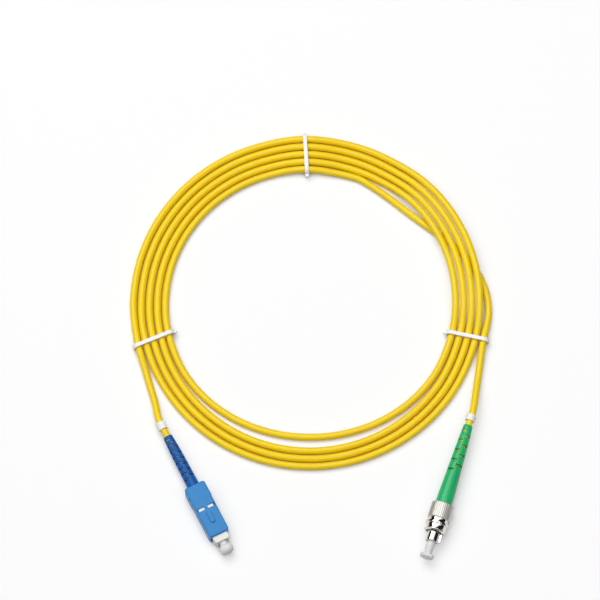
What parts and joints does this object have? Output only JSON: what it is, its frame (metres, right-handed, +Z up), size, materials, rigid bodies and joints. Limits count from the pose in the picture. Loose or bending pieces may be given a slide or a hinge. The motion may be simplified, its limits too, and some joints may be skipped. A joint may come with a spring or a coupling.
{
  "type": "fiber optic patch cord",
  "caption": "Simplex fibre patch cord: yellow cable coiled flat in ties, a push-pull SC plug on one end and a screwed FC plug on the other, both capped.",
  "frame": {"origin": "centre of the footprint, on the surface that the cord lies on", "axes": "+Z up from that surface, +Y along the longest side, from the plugs towards the coil's far side, +X from the SC plug towards the FC plug"},
  "size_m": [0.1553, 0.1961, 0.01],
  "materials": {
    "jacket": "yellow PVC jacket with a soft sheen",
    "tie_plastic": "white, smooth",
    "blue_plastic": "moulded blue, satin gloss",
    "frame_plastic": "moulded white",
    "green_rubber": "moulded green, satin",
    "nickel": "nickel plated brass",
    "steel": "bright",
    "ceramic": "polished white zirconia",
    "buffer": "white buffer",
    "yarn": "aramid yarn",
    "cap_plastic": "translucent, soft"
  },
  "bodies": {
    "cord": {"cable_coil": "jacket", "sc_lead": "jacket", "fc_lead": "jacket", "top_tie": "tie_plastic", "left_tie": "tie_plastic", "right_tie": "tie_plastic", "sc_marker_clip": "tie_plastic", "fc_marker_clip": "tie_plastic", "sc_plug_frame": "frame_plastic", "sc_rear_body": "nickel", "sc_crimp_sleeve": "steel", "sc_aramid_yarn": "yarn", "sc_spring": "steel", "sc_boot": "blue_plastic", "fc_barrel": "nickel", "fc_rear_body": "nickel", "fc_crimp_sleeve": "steel", "fc_aramid_yarn": "yarn", "fc_spring": "steel", "fc_boot": "green_rubber"},
    "sc_grip_body": {"sc_grip": "blue_plastic"},
    "sc_ferrule_body": {"sc_ferrule": "ceramic", "sc_ferrule_flange": "steel", "sc_fibre": "buffer"},
    "sc_cap_body": {"sc_dust_cap": "cap_plastic"},
    "fc_nut_body": {"fc_coupling_nut": "nickel"},
    "fc_ferrule_body": {"fc_ferrule": "ceramic", "fc_ferrule_flange": "steel", "fc_fibre": "buffer"},
    "fc_cap_body": {"fc_dust_cap": "cap_plastic"}
  },
  "joints": [
    {"name": "sc_grip_pull", "type": "slide", "parent": "cord", "child": "sc_grip_body", "axis": [-0.4509, 0.8926, 0], "range_m": [0, 0.002]},
    {"name": "sc_ferrule_push", "type": "slide", "parent": "cord", "child": "sc_ferrule_body", "axis": [-0.4509, 0.8926, 0], "range_m": [0, 0.001], "stiffness_N_per_m": 2000, "springref_m": -0.004, "deforming": ["sc_spring"]},
    {"name": "sc_cap_pull", "type": "slide", "parent": "sc_ferrule_body", "child": "sc_cap_body", "axis": [0.4509, -0.8926, 0], "range_m": [0, 0.01]},
    {"name": "fc_nut_turn", "type": "hinge", "parent": "cord", "child": "fc_nut_body", "pos_m": [0.05403, -0.07923, 0.005], "axis": [-0.2974, -0.9548, 0], "continuous": true},
    {"name": "fc_ferrule_push", "type": "slide", "parent": "cord", "child": "fc_ferrule_body", "axis": [0.2974, 0.9548, 0], "range_m": [0, 0.001], "stiffness_N_per_m": 2000, "springref_m": -0.004, "deforming": ["fc_spring"]},
    {"name": "fc_cap_pull", "type": "slide", "parent": "fc_ferrule_body", "child": "fc_cap_body", "axis": [-0.2974, -0.9548, 0], "range_m": [0, 0.01]}
  ]
}
